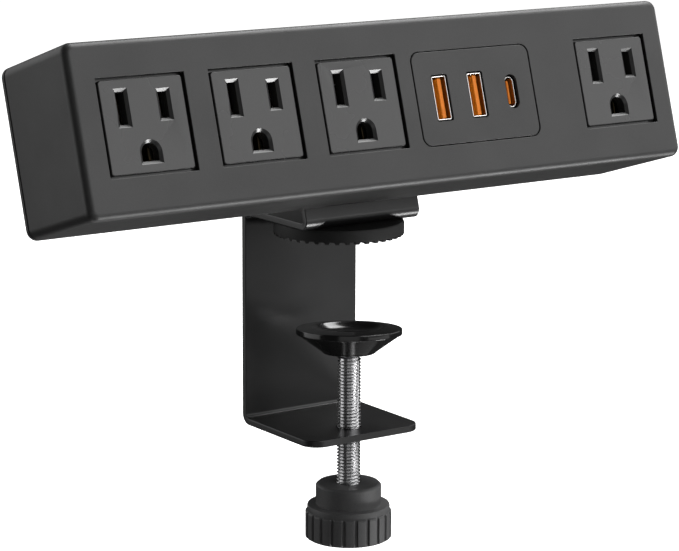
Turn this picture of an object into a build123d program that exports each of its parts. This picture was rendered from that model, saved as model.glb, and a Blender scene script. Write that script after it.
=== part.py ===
from build123d import *
import math
import os

# A clamp-on desk power strip, in millimetres and degrees. The origin is the middle of the
# upper grip disc's lower face, where the strip rests on a desk. +X runs along the strip,
# +Y points away from the outlets, towards the clamp's back plate, and +Z is up.

# Strip body. Inside the body a place is given as (u, v, w): u from the left end, v down
# from the top and w back from the face.
LENGTH = 201.2
HEIGHT = 47.1
DEPTH = 35.8
LEAN = 17.0
EDGE_RADIUS = 2.2
CORNER_RADIUS = 3.0
WALL = 2.2
COVER_THICKNESS = 1.4
PARTING_GAP = 0.5
BODY_CENTRE_X = -8.3
BODY_FOOT_Y = -11.7
BODY_FOOT_Z = 10.8

# Outlets, to the usual North American 15 A pattern
OUTLET_US = (21.35, 55.6, 89.75, 180.35)
OUTLET_TOP = 10.0
OUTLET_WIDTH = 26.7
OUTLET_HEIGHT = 26.5
INSERT_GAP = 0.7
INSERT_RECESS = 0.35
INSERT_THICKNESS = 3.65
INSERT_CORNER = 0.6
FLANGE_MARGIN = 1.0
BLADE_SPACING = 12.7
SLOT_WIDTH = 4.2
NEUTRAL_TOP = 3.06
NEUTRAL_HEIGHT = 10.45
LINE_TOP = 3.9
LINE_HEIGHT = 8.7
GROUND_TOP = 17.02
GROUND_WIDTH = 6.8
GROUND_HEIGHT = 6.56
SLOT_CHAMFER = 0.85
SLOT_CHAMFER_DEPTH = 0.7

# USB panel
PANEL_LEFT = 108.1
PANEL_WIDTH = 41.75
PANEL_TOP = 9.95
PANEL_HEIGHT = 27.0
PANEL_CORNER = 3.0
PANEL_GAP = 0.25
PANEL_THICKNESS = 3.8
USB_A_US = (PANEL_LEFT + 8.9, PANEL_LEFT + 21.3)
USB_C_U = PANEL_LEFT + 33.8
USB_V = PANEL_TOP + PANEL_HEIGHT / 2
USB_A_SIZE = (4.95, 12.6)
USB_A_GAP = 0.35
USB_A_RECESS = 0.35
USB_A_TONGUE = (1.5, 11.4)
USB_A_TONGUE_OFFSET = 0.6
USB_C_SIZE = (3.2, 8.95)
USB_C_GAP = 0.45
USB_C_RECESS = 1.0
USB_C_TONGUE = (0.7, 6.7)
SHELL_THICKNESS = 0.35
WINDOW_CORNER = 0.2

# Inside the body
STRIP_W = 18.0
STRIP_THICKNESS = 0.8
CARRIER_THICKNESS = 2.5
BOARD_W = 13.0
BOARD_THICKNESS = 1.6
BLADE_V = OUTLET_TOP + 8.25
GROUND_V = BLADE_V + 11.9
BOSS_RADIUS = 2.6
BOSS_VS = (6.4, HEIGHT - 6.4)
COVER_SCREW_US = (10.5, 76.0, 192.4)
CARRIER_SCREW_US = (38.7, 163.0)
INLET_U = 146.0
INLET_V = HEIGHT / 2
INLET_BORE = 3.9

# Clamp bracket, one bent steel strip
STRIP_WIDTH = 40.0
SHEET = 2.0
LOWER_ARM_TOP = -57.3
LOWER_ARM_FRONT = -15.2
BACK_PLATE_Y = 19.6
TOP_ARM_BOTTOM = 4.4
RISER_LENGTH = 41.0
BEND_RADIUS = 2.2
ARM_CORNER = 5.0
BRACKET_SCREW_XS = (-12.0, 12.0)
BRACKET_SCREW_HEIGHTS = (10.0, 27.0)

# Grip disc under the top arm
DISC_RADIUS = 19.2
DISC_TEETH = 40
TOOTH_INNER_RADIUS = 13.5

# Clamp screw, pad and knob
SCREW_Y = -5.5
SCREW_RADIUS = 3.55
SCREW_CLEARANCE = 0.06
SCREW_TOP = -35.7
NUT_RADIUS = 5.0
NUT_COLLAR_RADIUS = 6.6
NUT_COLLAR_HEIGHT = 1.0
NUT_SKIN = 0.8
SCREW_HOLE_RADIUS = 3.75
PAD_RIM_TOP = -27.45
PAD_RIM_RADIUS = 15.65
PAD_LEAN = 4.3
PAD_LEAN_AZIMUTH = -34.6
BALL_RADIUS = 3.2
BALL_Z = -32.5
STUD_SHANK_RADIUS = 1.6
STUD_SHANK_LENGTH = 6.0
KNOB_TOP = -74.4
KNOB_BOTTOM = -91.35
HUB_RADIUS = 9.75
HUB_HEIGHT = 6.4
GRIP_RADIUS = 12.3
RIB_RADIUS = 12.85
RIBS = 22
RIB_WIDTH = 2.6


def place(shape):
    """Take a shape from the body's own upright frame to the leaning body."""
    foot = Location((BODY_CENTRE_X, BODY_FOOT_Y, BODY_FOOT_Z), (-LEAN, 0, 0))
    return foot * shape


def local(u, v, w):
    """The body frame's point, from its lower back edge, for a place in the body."""
    return Vector(u - LENGTH / 2, w - DEPTH, HEIGHT - v)


def block(us, vs, ws):
    """A plain block in the body between two places."""
    centre = local(sum(us) / 2, sum(vs) / 2, sum(ws) / 2)
    return Pos(centre) * Box(us[1] - us[0], ws[1] - ws[0], vs[1] - vs[0])


def rod(u, v, ws, radius):
    """A round bar in the body along w."""
    middle = local(u, v, sum(ws) / 2)
    return Pos(middle) * Rot(90, 0, 0) * Cylinder(radius, ws[1] - ws[0])


def face_plane(u, v, w):
    """A drawing plane on the face at a place, its x along the strip and its y up."""
    return Plane(origin=local(u, v, w), x_dir=(1, 0, 0), z_dir=(0, -1, 0))


def rounded_block(u, v, ws, width, height, radius):
    """A block about (u, v) with rounded corners in the face's plane."""
    sketch = face_plane(u, v, ws[1]) * RectangleRounded(width, height, radius)
    return extrude(sketch, amount=ws[1] - ws[0])


def tapered(outer, inner, u, v, w, depth, through):
    """A hole with a sloped mouth: outer at the face, inner at depth, then straight."""
    mouth = loft([face_plane(u, v, w) * outer, face_plane(u, v, w + depth) * inner])
    lip = extrude(face_plane(u, v, w) * outer, amount=1)
    shaft = extrude(face_plane(u, v, through) * inner, amount=through - w - depth)
    return lip + mouth + shaft


def revolve_profile(points, x=0, y=0):
    """A turned solid about the vertical line at (x, y), from (radius, z) points."""
    wire = Polyline(*[(r, 0, z) for r, z in points], close=True)
    return Pos(x, y, 0) * revolve(make_face(wire), Axis.Z)


def pan_screw(u, v, head_w, length, radius, head_radius, head_height):
    """A pan-head screw driven along -w, its head standing behind head_w."""
    shank = rod(u, v, (head_w - length, head_w), radius)
    head = rod(u, v, (head_w, head_w + head_height), head_radius)
    rim = head.edges().filter_by(GeomType.CIRCLE).sort_by(Axis.Y)[-1]
    head = fillet(rim, head_height * 0.5)
    recess = rod(u, v, (head_w + head_height * 0.45, head_w + head_height), head_radius * 0.4)
    return shank + (head - recess)


def body_blank(ws, inset=0.0, rounded=False):
    """The body's outline between two depths, inset from its sides."""
    centre = (LENGTH / 2, HEIGHT / 2)
    blank = rounded_block(*centre, ws, LENGTH - 2 * inset, HEIGHT - 2 * inset, CORNER_RADIUS - inset)
    if rounded:
        front = blank.faces().sort_by(Axis.Y)[0]
        blank = fillet(front.edges(), EDGE_RADIUS)
    return blank


def front_housing():
    """The long tray with the face, its windows and the posts for the screws."""
    back = DEPTH - COVER_THICKNESS - PARTING_GAP
    shell = body_blank((0, back), rounded=True) - body_blank((WALL, back), inset=WALL)
    for u in COVER_SCREW_US:
        for v in BOSS_VS:
            shell += rod(u, v, (WALL, back - 1.0), BOSS_RADIUS)
            shell -= rod(u, v, (back - 12, back), 1.25)
    for u in CARRIER_SCREW_US:
        for v in BOSS_VS:
            shell += rod(u, v, (WALL, STRIP_W + STRIP_THICKNESS), BOSS_RADIUS)
            shell -= rod(u, v, (STRIP_W - 8, back), 1.25)
    outlet_v = OUTLET_TOP + OUTLET_HEIGHT / 2
    for u in OUTLET_US:
        shell -= rounded_block(u, outlet_v, (-1, WALL + 1), OUTLET_WIDTH, OUTLET_HEIGHT, WINDOW_CORNER)
    panel_u = PANEL_LEFT + PANEL_WIDTH / 2
    shell -= rounded_block(panel_u, USB_V, (-1, WALL + 1), PANEL_WIDTH, PANEL_HEIGHT, PANEL_CORNER)
    return shell


def rear_cover():
    """The thin back plate, with the ledge that enters the housing and four fixing bosses."""
    back = DEPTH - COVER_THICKNESS
    plate = body_blank((back, DEPTH))
    plate += body_blank((back - PARTING_GAP, back), inset=0.9)
    plate += body_blank((back - PARTING_GAP - 0.9, back), inset=WALL + 0.15)
    for x in BRACKET_SCREW_XS:
        for height in BRACKET_SCREW_HEIGHTS:
            u, v = bracket_screw_place(x, height)
            plate += rod(u, v, (back - 7, back), 3.4)
            plate -= rod(u, v, (back - 8, DEPTH + 1), 1.95)
    for u in COVER_SCREW_US:
        for v in BOSS_VS:
            plate -= rod(u, v, (back - 3, DEPTH + 1), 1.3)
    return plate - rod(INLET_U, INLET_V, (back - 3, DEPTH + 1), 5.6)


def bracket_screw_place(x, height):
    """Where a bracket screw at x and that height up the riser crosses the body."""
    return x - BODY_CENTRE_X + LENGTH / 2, HEIGHT - height


def ground_shape(width, height):
    """A ground hole's outline: a half-round top on a straight-sided, flat foot."""
    half = width / 2
    straight = height - half
    foot = Pos(0, -height / 2 + straight / 2) * Rectangle(width, straight)
    return foot + Pos(0, height / 2 - half) * Circle(half)


def outlet_insert(u):
    """One outlet face with its three slots, held by a flange behind the window."""
    v = OUTLET_TOP + OUTLET_HEIGHT / 2
    width = OUTLET_WIDTH - 2 * INSERT_GAP
    height = OUTLET_HEIGHT - 2 * INSERT_GAP
    back = INSERT_RECESS + INSERT_THICKNESS
    body = rounded_block(u, v, (INSERT_RECESS, back), width, height, INSERT_CORNER)
    front = body.faces().sort_by(Axis.Y)[0]
    body = chamfer(front.edges(), 0.3)
    flange_width = OUTLET_WIDTH + 2 * FLANGE_MARGIN
    flange_height = OUTLET_HEIGHT + 2 * FLANGE_MARGIN
    body += rounded_block(u, v, (WALL, back), flange_width, flange_height, INSERT_CORNER)
    slots = (
        (-BLADE_SPACING / 2, NEUTRAL_TOP, SLOT_WIDTH, NEUTRAL_HEIGHT),
        (BLADE_SPACING / 2, LINE_TOP, SLOT_WIDTH, LINE_HEIGHT),
    )
    trim = 2 * SLOT_CHAMFER
    for offset, top, slot_width, slot_height in slots:
        outer = Rectangle(slot_width, slot_height)
        inner = Rectangle(slot_width - trim, slot_height - trim)
        middle = OUTLET_TOP + top + slot_height / 2
        body -= tapered(outer, inner, u + offset, middle, INSERT_RECESS, SLOT_CHAMFER_DEPTH, back + 1)
    outer = ground_shape(GROUND_WIDTH, GROUND_HEIGHT)
    inner = ground_shape(GROUND_WIDTH - trim, GROUND_HEIGHT - trim)
    middle = OUTLET_TOP + GROUND_TOP + GROUND_HEIGHT / 2
    return body - tapered(outer, inner, u, middle, INSERT_RECESS, SLOT_CHAMFER_DEPTH, back + 1)


def usb_panel():
    """The rounded plate round the USB ports, flush with the face, flanged behind it."""
    u = PANEL_LEFT + PANEL_WIDTH / 2
    width = PANEL_WIDTH - 2 * PANEL_GAP
    height = PANEL_HEIGHT - 2 * PANEL_GAP
    plate = rounded_block(u, USB_V, (0, PANEL_THICKNESS), width, height, PANEL_CORNER - PANEL_GAP)
    wide = PANEL_WIDTH + 2 * FLANGE_MARGIN
    high = PANEL_HEIGHT + 2 * FLANGE_MARGIN
    plate += rounded_block(u, USB_V, (WALL, PANEL_THICKNESS), wide, high, PANEL_CORNER)
    window = [side + 2 * USB_A_GAP for side in USB_A_SIZE]
    for port_u in USB_A_US:
        plate -= rounded_block(port_u, USB_V, (-1, 6), *window, 0.7)
    window = [side + 2 * USB_C_GAP for side in USB_C_SIZE]
    return plate - rounded_block(USB_C_U, USB_V, (-1, 6), *window, window[0] / 2 - 0.02)


def port_shell(u, size, radius, recess):
    """A drawn metal shell standing on the circuit board, open at the front."""
    outer = rounded_block(u, USB_V, (recess, BOARD_W), *size, radius)
    bore = [side - 2 * SHELL_THICKNESS for side in size]
    inner_radius = max(radius - SHELL_THICKNESS, 0.1)
    return outer - rounded_block(u, USB_V, (-1, BOARD_W - 0.6), *bore, inner_radius)


def port_tongue(u, size, recess):
    """The moulded contact tongue that stands in a port's shell."""
    us = (u - size[0] / 2, u + size[0] / 2)
    vs = (USB_V - size[1] / 2, USB_V + size[1] / 2)
    return block(us, vs, (recess, BOARD_W - 0.6))


def contact_strip(bar_vs, contact_v, offset, leaf_height, thickness_gap):
    """A pressed strip: a bar along the body and a pair of leaves behind each outlet."""
    ws = (STRIP_W, STRIP_W + STRIP_THICKNESS)
    right_end = LENGTH - 5.7
    strip = block((OUTLET_US[0] + offset - 3, right_end), bar_vs, ws)
    for centre in OUTLET_US:
        u = centre + offset
        web_vs = (min(bar_vs[0], contact_v - leaf_height / 2), max(bar_vs[1], contact_v + leaf_height / 2))
        strip += block((u - 2.2, u + 2.2), web_vs, ws)
        for side in (-1, 1):
            middle = u + side * (thickness_gap / 2 + 0.25)
            leaf_vs = (contact_v - leaf_height / 2, contact_v + leaf_height / 2)
            strip += block((middle - 0.25, middle + 0.25), leaf_vs, (5.0, STRIP_W + 0.4))
    return strip


def contact_carrier():
    """The insulating tray behind the contact strips."""
    front = STRIP_W + STRIP_THICKNESS
    tray = block((14.5, LENGTH - 13.6), (4.0, HEIGHT - 4.0), (front, front + CARRIER_THICKNESS))
    for v in BOSS_VS:
        tray -= rod(COVER_SCREW_US[1], v, (front - 1, front + 5), BOSS_RADIUS + 0.3)
        for u in CARRIER_SCREW_US:
            tray -= rod(u, v, (front - 1, front + 5), 1.25)
    for u in (PANEL_LEFT + 4, PANEL_LEFT + PANEL_WIDTH - 4):
        for v in (7.4, HEIGHT - 7.4):
            tray += rod(u, v, (BOARD_W + BOARD_THICKNESS, front), 1.6)
    return tray


def usb_circuit_board():
    """The board that carries the ports, facing the panel."""
    right = PANEL_LEFT + PANEL_WIDTH - 0.9
    back = BOARD_W + BOARD_THICKNESS
    return block((PANEL_LEFT + 0.9, right), (5.6, HEIGHT - 5.6), (BOARD_W, back))


def capacitors():
    """The two can capacitors that smooth the USB supply."""
    row = HEIGHT - 10.6
    pair = rod(PANEL_LEFT + 10, row, (BOARD_W - 8.0, BOARD_W), 3.1)
    return pair + rod(PANEL_LEFT + 18, row, (BOARD_W - 8.0, BOARD_W), 3.1)


def transformer():
    """The small flyback transformer: a wound middle between two ferrite cheeks."""
    u = PANEL_LEFT + 26.5
    core = block((u - 6, u + 6), (6.6, 13.4), (BOARD_W - 9.0, BOARD_W - 6.5))
    core += block((u - 6, u + 6), (6.6, 13.4), (BOARD_W - 2.5, BOARD_W))
    return core + block((u - 4, u + 4), (6.6, 13.4), (BOARD_W - 7, BOARD_W - 2))


def controller_chip():
    """The USB charging controller."""
    u = PANEL_LEFT + 31
    return block((u - 3, u + 3), (HEIGHT - 13.6, HEIGHT - 7.6), (BOARD_W - 1.6, BOARD_W))


def supply_pins():
    """Two pins that feed the board from the line and neutral strips."""
    back = BOARD_W + BOARD_THICKNESS
    pins = rod(PANEL_LEFT + 20, 12.5, (back, STRIP_W), 0.6)
    return pins + rod(PANEL_LEFT + 20, 24.4, (back, STRIP_W), 0.6)


def terminal_block():
    """The block where the supply cord's conductors are clamped."""
    front = STRIP_W + STRIP_THICKNESS + CARRIER_THICKNESS
    body = block((158, 172), (15.7, 31.7), (front, front + 8.0))
    for v in (18.2, 23.7, 29.2):
        body -= rod(163, v, (front + 5.0, front + 9), 1.7)
    return body


def terminal_screws():
    """The three clamping screws in the terminal block."""
    front = STRIP_W + STRIP_THICKNESS + CARRIER_THICKNESS
    return Compound([rod(163, v, (front + 5.0, front + 7.6), 1.65) for v in (18.2, 23.7, 29.2)])


def lead(start_v, bar_v):
    """An insulated lead from the terminal block to the end of a contact strip."""
    run_w = 25.0
    end_u = LENGTH - 8.7
    bar_w = STRIP_W + STRIP_THICKNESS
    points = [local(172, start_v, run_w), local(181, start_v, run_w)]
    points += [local(end_u, bar_v, run_w), local(end_u, bar_v, bar_w)]
    route = FilletPolyline(*points, radius=(3.0, 2.6)) if abs(start_v - bar_v) > 1 else None
    if route is None:
        route = FilletPolyline(points[0], points[2], points[3], radius=2.6)
    section = Plane(origin=route @ 0, z_dir=route % 0) * Circle(0.95)
    return sweep(section, path=route)


def inlet_bushing():
    """The grommet where the supply cord enters through the rear cover."""
    sleeve = rod(INLET_U, INLET_V, (DEPTH - 7.0, DEPTH + 1.6), 5.5)
    sleeve += rod(INLET_U, INLET_V, (DEPTH, DEPTH + 1.6), 7.4)
    return sleeve - rod(INLET_U, INLET_V, (DEPTH - 9, DEPTH + 3), INLET_BORE)


def clamp_bracket():
    """One steel strip bent four ways: lower arm, back plate, top arm and leaning riser."""
    low = LOWER_ARM_TOP - SHEET / 2
    high = TOP_ARM_BOTTOM + SHEET / 2
    back = BACK_PLATE_Y + SHEET / 2
    lean = math.radians(LEAN)
    foot = Vector(0, BODY_FOOT_Y, BODY_FOOT_Z) + Vector(0, math.cos(lean), -math.sin(lean)) * SHEET / 2
    along = Vector(0, math.sin(lean), math.cos(lean))
    bend = foot + along * ((high - foot.Z) / along.Z)
    top = foot + along * RISER_LENGTH
    points = [(0, LOWER_ARM_FRONT, low), (0, back, low), (0, back, high), bend, top]
    path = FilletPolyline(*points, radius=(BEND_RADIUS, BEND_RADIUS, 1.7))
    section = Plane(origin=path @ 0, x_dir=(1, 0, 0), z_dir=(0, 1, 0)) * Rectangle(STRIP_WIDTH, SHEET)
    strip = sweep(section, path=path)
    front = strip.faces().sort_by(Axis.Y)[0]
    strip = fillet(front.edges().filter_by(Axis.Z), ARM_CORNER)
    end = strip.faces().sort_by(Axis.Z)[-1]
    corners = end.edges().filter_by(lambda edge: abs(edge.tangent_at(0).X) < 0.1)
    strip = fillet(corners, ARM_CORNER)
    strip -= Pos(0, SCREW_Y, LOWER_ARM_TOP - 1) * Cylinder(SCREW_HOLE_RADIUS, 4)
    strip -= Pos(0, SCREW_Y, LOWER_ARM_TOP - NUT_SKIN - 2) * Cylinder(NUT_RADIUS, 4)
    strip -= Pos(0, 0, TOP_ARM_BOTTOM + 1) * Cylinder(2.05, 4)
    for x in BRACKET_SCREW_XS:
        for height in BRACKET_SCREW_HEIGHTS:
            u, v = bracket_screw_place(x, height)
            strip -= place(rod(u, v, (DEPTH - 1, DEPTH + 4), 2.1))
    return strip


def press_nut():
    """The threaded bushing pressed into the lower arm from below."""
    bottom = LOWER_ARM_TOP - SHEET - NUT_COLLAR_HEIGHT
    top = LOWER_ARM_TOP - NUT_SKIN
    bore = SCREW_RADIUS + SCREW_CLEARANCE
    profile = [
        (bore, top),
        (NUT_RADIUS, top),
        (NUT_RADIUS, LOWER_ARM_TOP - SHEET),
        (NUT_COLLAR_RADIUS, LOWER_ARM_TOP - SHEET),
        (NUT_COLLAR_RADIUS, bottom),
        (bore, bottom),
    ]
    return revolve_profile(profile, y=SCREW_Y)


def grip_disc():
    """The disc that grips the desk's top, with short teeth round its lower rim."""
    disc = Pos(0, 0, TOP_ARM_BOTTOM / 2) * Cylinder(DISC_RADIUS, TOP_ARM_BOTTOM)
    disc = chamfer(disc.edges().sort_by(Axis.Z)[-1], 1.0)
    length = DISC_RADIUS - TOOTH_INNER_RADIUS + 1
    notch = Pos(TOOTH_INNER_RADIUS + length / 2, 0, 0) * Box(length, 1.3, 1.2)
    notches = [Rot(0, 0, 360 * n / DISC_TEETH) * notch for n in range(DISC_TEETH)]
    disc -= notches
    return disc - Pos(0, 0, TOP_ARM_BOTTOM) * Cylinder(2.0, 5.4)


def disc_screw():
    """The screw through the top arm that holds the grip disc."""
    head_z = TOP_ARM_BOTTOM + SHEET
    profile = [(0, 1.7), (2.0, 1.7), (2.0, head_z), (4.0, head_z), (4.0, head_z + 1.0)]
    profile += [(3.2, head_z + 1.9), (1.6, head_z + 1.9), (1.6, head_z + 0.9), (0, head_z + 0.9)]
    return revolve_profile(profile)


def clamp_screw():
    """The threaded rod's plain core size, with a blind bore on top and a hex head below."""
    bottom = KNOB_BOTTOM + 3.0
    length = SCREW_TOP - bottom
    stem = Pos(0, SCREW_Y, bottom + length / 2) * Cylinder(SCREW_RADIUS, length)
    stem = chamfer(stem.edges().filter_by(GeomType.CIRCLE).sort_by(Axis.Z)[-1], 0.5)
    head = extrude(Pos(0, SCREW_Y, bottom) * RegularPolygon(6.2, 6), amount=4.0)
    bore_length = STUD_SHANK_LENGTH + 0.3
    bore = Pos(0, SCREW_Y, SCREW_TOP - bore_length / 2) * Cylinder(STUD_SHANK_RADIUS + 0.05, bore_length)
    return stem + head - bore


def swivel_stud():
    """The ball stud that turns in the screw's end and carries the pad."""
    ball = Pos(0, SCREW_Y, BALL_Z) * Sphere(BALL_RADIUS)
    shank_top = BALL_Z - BALL_RADIUS + 0.6
    shank_bottom = SCREW_TOP - STUD_SHANK_LENGTH
    middle = (shank_top + shank_bottom) / 2
    return ball + Pos(0, SCREW_Y, middle) * Cylinder(STUD_SHANK_RADIUS, shank_top - shank_bottom)


def pad_lean(shape):
    """Lean the pad on its ball, as it hangs when the clamp is open."""
    ball = Pos(0, SCREW_Y, BALL_Z)
    turn = Rot(0, 0, PAD_LEAN_AZIMUTH)
    tilt = turn * Rot(-PAD_LEAN, 0, 0) * turn.inverse()
    return ball * tilt * ball.inverse() * shape


def pressure_pad():
    """The dished pad: a raised inner ring, a sloping rim and a cone down to its socket."""
    top = PAD_RIM_TOP
    rim = PAD_RIM_RADIUS
    base = BALL_Z - 2.75
    with BuildPart() as pad:
        with BuildSketch(Plane.XZ) as profile:
            with BuildLine() as outline:
                Line((0, base), (6.4, base))
                RadiusArc((6.4, base), (8.3, base + 1.0), -2.6)
                Line((8.3, base + 1.0), (rim - 0.6, top - 2.0))
                Line((rim - 0.6, top - 2.0), (rim, top - 1.7))
                Line((rim, top - 1.7), (rim, top - 0.15))
                Line((rim, top - 0.15), (11.4, top + 0.3))
                RadiusArc((11.4, top + 0.3), (10.5, top), -0.8)
                ThreePointArc((10.5, top), (7.4, top - 1.55), (4.6, top - 1.9))
                Line((4.6, top - 1.9), (0, top - 1.9))
                Line((0, top - 1.9), (0, base))
            make_face()
        revolve(axis=Axis.Z)
    solid = Pos(0, SCREW_Y, 0) * pad.part
    solid -= Pos(0, SCREW_Y, BALL_Z) * Sphere(BALL_RADIUS + 0.08)
    mouth = [(0, base - 1), (5.0, base - 1), (4.4, base), (2.9, base + 1.1), (2.9, BALL_Z), (0, BALL_Z)]
    return pad_lean(solid - revolve_profile(mouth, y=SCREW_Y))


def knob():
    """The ribbed hand knob with its smooth hub, hollow below for the screw's head."""
    flange = KNOB_TOP - HUB_HEIGHT
    profile = [
        (0, KNOB_BOTTOM),
        (GRIP_RADIUS - 0.7, KNOB_BOTTOM),
        (GRIP_RADIUS, KNOB_BOTTOM + 0.5),
        (GRIP_RADIUS, flange - 0.5),
        (GRIP_RADIUS - 0.5, flange),
        (HUB_RADIUS, flange),
        (HUB_RADIUS, KNOB_TOP - 0.7),
        (HUB_RADIUS - 0.7, KNOB_TOP),
        (0, KNOB_TOP),
    ]
    body = revolve_profile(profile, y=SCREW_Y)
    rib_top = flange - 1.9
    rib_bottom = KNOB_BOTTOM + 0.4
    rib_middle = (rib_top + rib_bottom) / 2
    rib = Pos(RIB_RADIUS - 1.0, 0, rib_middle) * Box(2.0, RIB_WIDTH, rib_top - rib_bottom)
    rib = fillet(rib.edges().filter_by(Axis.Z).group_by(Axis.X)[-1], 0.35)
    axis = Pos(0, SCREW_Y, 0)
    body += [axis * Rot(0, 0, 360 * (n + 0.5) / RIBS) * rib for n in range(RIBS)]
    screw_bottom = KNOB_BOTTOM + 3.0
    body -= Pos(0, SCREW_Y, screw_bottom + 10) * Cylinder(SCREW_RADIUS, 20)
    body -= extrude(Pos(0, SCREW_Y, screw_bottom) * RegularPolygon(6.2, 6), amount=4.0)
    return body - Pos(0, SCREW_Y, KNOB_BOTTOM + 1.5) * Cylinder(7.5, 3.0)


def knob_cap():
    """The disc that closes the knob's underside."""
    return Pos(0, SCREW_Y, KNOB_BOTTOM + 1.6) * Cylinder(7.5, 2.8)


def screw_set(us, vs, head_w, length):
    """A set of equal small screws as separate solids."""
    return Compound([pan_screw(u, v, head_w, length, 1.2, 2.5, 1.5) for u in us for v in vs])


def bracket_screws():
    """The four screws through the riser into the rear cover."""
    screws = []
    for x in BRACKET_SCREW_XS:
        for height in BRACKET_SCREW_HEIGHTS:
            u, v = bracket_screw_place(x, height)
            screws.append(pan_screw(u, v, DEPTH + SHEET, 9.0, 1.9, 3.6, 2.2))
    return Compound(screws)


def body_parts():
    """Every piece of the strip's body, by name, in the body's upright frame."""
    blade_reach = 6.6
    carrier_back = STRIP_W + STRIP_THICKNESS + CARRIER_THICKNESS
    half = BLADE_SPACING / 2
    parts = {"front_housing": front_housing(), "rear_cover": rear_cover()}
    for number, u in enumerate(OUTLET_US, 1):
        parts[f"outlet_insert_{number}"] = outlet_insert(u)
    parts["usb_panel"] = usb_panel()
    for number, u in enumerate(USB_A_US, 1):
        parts[f"usb_a_shell_{number}"] = port_shell(u, USB_A_SIZE, 0.5, USB_A_RECESS)
        parts[f"usb_a_tongue_{number}"] = port_tongue(u + USB_A_TONGUE_OFFSET, USB_A_TONGUE, USB_A_RECESS + 0.8)
    parts["usb_c_shell"] = port_shell(USB_C_U, USB_C_SIZE, 1.55, USB_C_RECESS)
    parts["usb_c_tongue"] = port_tongue(USB_C_U, USB_C_TONGUE, USB_C_RECESS + 0.8)
    parts["usb_circuit_board"] = usb_circuit_board()
    parts["usb_capacitors"] = capacitors()
    parts["usb_transformer"] = transformer()
    parts["usb_controller_chip"] = controller_chip()
    parts["usb_supply_pins"] = supply_pins()
    parts["neutral_strip"] = contact_strip((10.6, 14.4), BLADE_V, -half, blade_reach, 1.5)
    parts["line_strip"] = contact_strip((23.2, 25.6), BLADE_V, half, blade_reach, 1.5)
    parts["ground_strip"] = contact_strip((34.0, 37.4), GROUND_V, 0, 4.6, 3.4)
    parts["contact_carrier"] = contact_carrier()
    parts["carrier_screws"] = screw_set(CARRIER_SCREW_US, BOSS_VS, carrier_back, 8.5)
    parts["terminal_block"] = terminal_block()
    parts["terminal_screws"] = terminal_screws()
    parts["neutral_lead"] = lead(18.2, 12.5)
    parts["line_lead"] = lead(24.4, 24.4)
    parts["ground_lead"] = lead(29.2, 35.7)
    parts["cord_inlet_bushing"] = inlet_bushing()
    parts["rear_cover_screws"] = screw_set(COVER_SCREW_US, BOSS_VS, DEPTH, 9.0)
    parts["bracket_screws"] = bracket_screws()
    return parts


def clamp_parts():
    """Every piece of the clamp, by name, in the part's own frame."""
    return {
        "clamp_bracket": clamp_bracket(),
        "press_nut": press_nut(),
        "grip_disc": grip_disc(),
        "disc_screw": disc_screw(),
        "clamp_screw": clamp_screw(),
        "swivel_stud": swivel_stud(),
        "pressure_pad": pressure_pad(),
        "knob": knob(),
        "knob_cap": knob_cap(),
    }


def main():
    os.makedirs("parts", exist_ok=True)
    for name, shape in body_parts().items():
        export_step(place(shape), f"parts/{name}.step")
    for name, shape in clamp_parts().items():
        export_step(shape, f"parts/{name}.step")


main()
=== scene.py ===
import math

import bmesh
import bpy
from mathutils import Matrix, Vector


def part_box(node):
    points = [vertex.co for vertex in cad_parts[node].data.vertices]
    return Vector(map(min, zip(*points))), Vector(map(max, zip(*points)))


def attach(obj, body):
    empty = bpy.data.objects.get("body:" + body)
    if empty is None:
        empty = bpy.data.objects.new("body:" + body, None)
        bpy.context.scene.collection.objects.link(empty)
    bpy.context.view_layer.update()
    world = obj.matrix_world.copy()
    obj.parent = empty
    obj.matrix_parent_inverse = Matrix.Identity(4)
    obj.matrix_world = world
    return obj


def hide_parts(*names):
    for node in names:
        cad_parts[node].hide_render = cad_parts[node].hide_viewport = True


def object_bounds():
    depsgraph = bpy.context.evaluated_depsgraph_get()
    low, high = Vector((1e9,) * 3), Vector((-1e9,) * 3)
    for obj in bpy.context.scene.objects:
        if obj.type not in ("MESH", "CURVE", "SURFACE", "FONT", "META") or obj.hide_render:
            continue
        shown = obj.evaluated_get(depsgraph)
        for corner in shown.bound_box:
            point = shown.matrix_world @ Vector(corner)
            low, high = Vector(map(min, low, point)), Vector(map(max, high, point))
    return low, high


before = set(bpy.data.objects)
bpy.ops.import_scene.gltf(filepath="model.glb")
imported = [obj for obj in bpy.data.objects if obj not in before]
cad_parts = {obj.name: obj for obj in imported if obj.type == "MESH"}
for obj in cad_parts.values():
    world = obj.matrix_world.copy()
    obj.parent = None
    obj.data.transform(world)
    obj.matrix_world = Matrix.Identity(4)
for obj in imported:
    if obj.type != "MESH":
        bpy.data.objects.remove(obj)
cad_low, cad_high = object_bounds()

# Lengths are in millimetres until a mesh is made. A place in the strip's body is (u, v, w):
# u from the left end, v down from the top and w back from the face, as in the CAD model.
MM = 0.001
LENGTH = 201.2
HEIGHT = 47.1
DEPTH = 35.8
LEAN = math.radians(17.0)
BODY_CENTRE_X = -8.3
BODY_FOOT_Y = -11.7
BODY_FOOT_Z = 10.8
EDGE_RADIUS = 2.2
CORNER_RADIUS = 3.0
WALL = 2.2
COVER_THICKNESS = 1.4
PARTING_GAP = 0.5

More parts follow.
